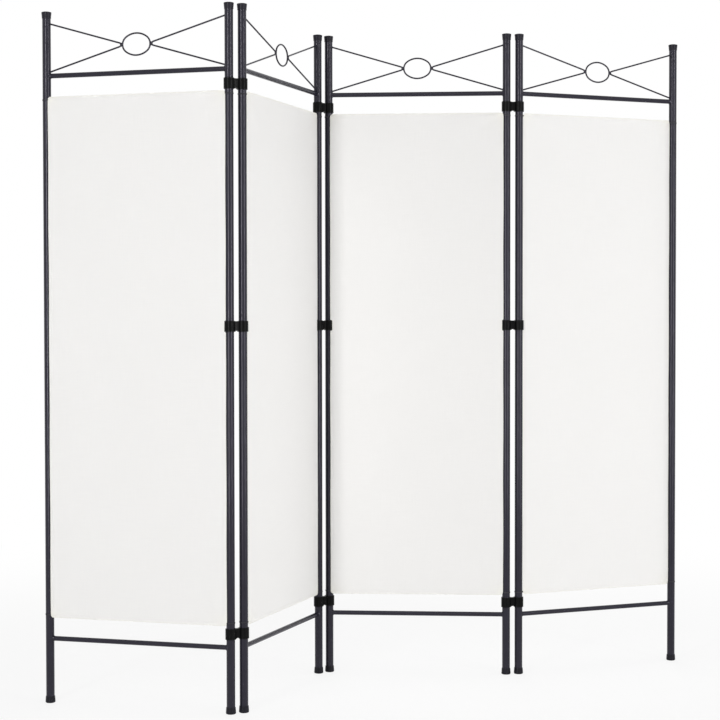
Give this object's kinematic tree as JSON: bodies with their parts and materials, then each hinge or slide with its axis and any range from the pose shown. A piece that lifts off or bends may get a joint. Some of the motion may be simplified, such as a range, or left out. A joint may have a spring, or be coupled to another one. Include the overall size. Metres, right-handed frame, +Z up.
{
  "type": "folding screen",
  "caption": "Free-standing folding room divider: hinged steel tube panels with stretched white fabric and an open header of crossed rods and an oval ring.",
  "frame": {"origin": "on the floor, under the middle of the bounding box of the screen standing in its zigzag", "axes": "+X along the screen to the right as seen from the fabric's face, +Y away from that face, +Z up"},
  "size_m": [1.7501, 0.683, 1.8],
  "materials": {
    "frame_paint": "satin charcoal powder coat",
    "clip_plastic": "moulded black plastic",
    "cap_plastic": "moulded dark grey plastic",
    "screen_fabric": "plain woven white polyester",
    "loop_elastic": "flat black elastic"
  },
  "bodies": {
    "panel_1": {"panel_1_left_top_tube": "frame_paint", "panel_1_left_middle_tubes": "frame_paint", "panel_1_left_foot_tube": "frame_paint", "panel_1_right_top_tube": "frame_paint", "panel_1_right_middle_tubes": "frame_paint", "panel_1_right_foot_tube": "frame_paint", "panel_1_top_rail": "frame_paint", "panel_1_bottom_rail": "frame_paint", "panel_1_cross_rods": "frame_paint", "panel_1_oval_ring": "frame_paint", "panel_1_caps": "cap_plastic", "panel_1_feet": "cap_plastic", "panel_1_fabric": "screen_fabric", "panel_1_loops": "loop_elastic"},
    "hinge_1": {"hinge_1_clips": "clip_plastic"},
    "panel_2": {"panel_2_left_top_tube": "frame_paint", "panel_2_left_middle_tubes": "frame_paint", "panel_2_left_foot_tube": "frame_paint", "panel_2_right_top_tube": "frame_paint", "panel_2_right_middle_tubes": "frame_paint", "panel_2_right_foot_tube": "frame_paint", "panel_2_top_rail": "frame_paint", "panel_2_bottom_rail": "frame_paint", "panel_2_cross_rods": "frame_paint", "panel_2_oval_ring": "frame_paint", "panel_2_caps": "cap_plastic", "panel_2_feet": "cap_plastic", "panel_2_fabric": "screen_fabric", "panel_2_loops": "loop_elastic"},
    "hinge_2": {"hinge_2_clips": "clip_plastic"},
    "panel_3": {"panel_3_left_top_tube": "frame_paint", "panel_3_left_middle_tubes": "frame_paint", "panel_3_left_foot_tube": "frame_paint", "panel_3_right_top_tube": "frame_paint", "panel_3_right_middle_tubes": "frame_paint", "panel_3_right_foot_tube": "frame_paint", "panel_3_top_rail": "frame_paint", "panel_3_bottom_rail": "frame_paint", "panel_3_cross_rods": "frame_paint", "panel_3_oval_ring": "frame_paint", "panel_3_caps": "cap_plastic", "panel_3_feet": "cap_plastic", "panel_3_fabric": "screen_fabric", "panel_3_loops": "loop_elastic"},
    "hinge_3": {"hinge_3_clips": "clip_plastic"},
    "panel_4": {"panel_4_left_top_tube": "frame_paint", "panel_4_left_middle_tubes": "frame_paint", "panel_4_left_foot_tube": "frame_paint", "panel_4_right_top_tube": "frame_paint", "panel_4_right_middle_tubes": "frame_paint", "panel_4_right_foot_tube": "frame_paint", "panel_4_top_rail": "frame_paint", "panel_4_bottom_rail": "frame_paint", "panel_4_cross_rods": "frame_paint", "panel_4_oval_ring": "frame_paint", "panel_4_caps": "cap_plastic", "panel_4_feet": "cap_plastic", "panel_4_fabric": "screen_fabric", "panel_4_loops": "loop_elastic"}
  },
  "joints": [
    {"name": "hinge_1_left_pivot", "type": "hinge", "parent": "hinge_1", "child": "panel_1", "pos_m": [-0.37912, -0.32782, 0.985], "axis": [0, 0, -1], "range_deg": [-132, 48]},
    {"name": "hinge_1_right_pivot", "type": "hinge", "parent": "panel_2", "child": "hinge_1", "pos_m": [-0.34704, -0.31148, 0.985], "axis": [0, 0, -1], "range_deg": [-132, 48]},
    {"name": "hinge_2_left_pivot", "type": "hinge", "parent": "hinge_2", "child": "panel_2", "pos_m": [-0.16786, 0.15531, 0.985], "axis": [0, 0, 1], "range_deg": [-126.5, 53.5]},
    {"name": "hinge_2_right_pivot", "type": "hinge", "parent": "hinge_2", "child": "panel_3", "pos_m": [-0.13749, 0.17465, 0.985], "axis": [0, 0, -1], "range_deg": [-126.5, 53.5]},
    {"name": "hinge_3_left_pivot", "type": "hinge", "parent": "panel_3", "child": "hinge_3", "pos_m": [0.36129, 0.13978, 0.985], "axis": [0, 0, 1], "range_deg": [-102.75, 77.25]},
    {"name": "hinge_3_right_pivot", "type": "hinge", "parent": "hinge_3", "child": "panel_4", "pos_m": [0.39687, 0.14525, 0.985], "axis": [0, 0, 1], "range_deg": [-102.75, 77.25]}
  ]
}
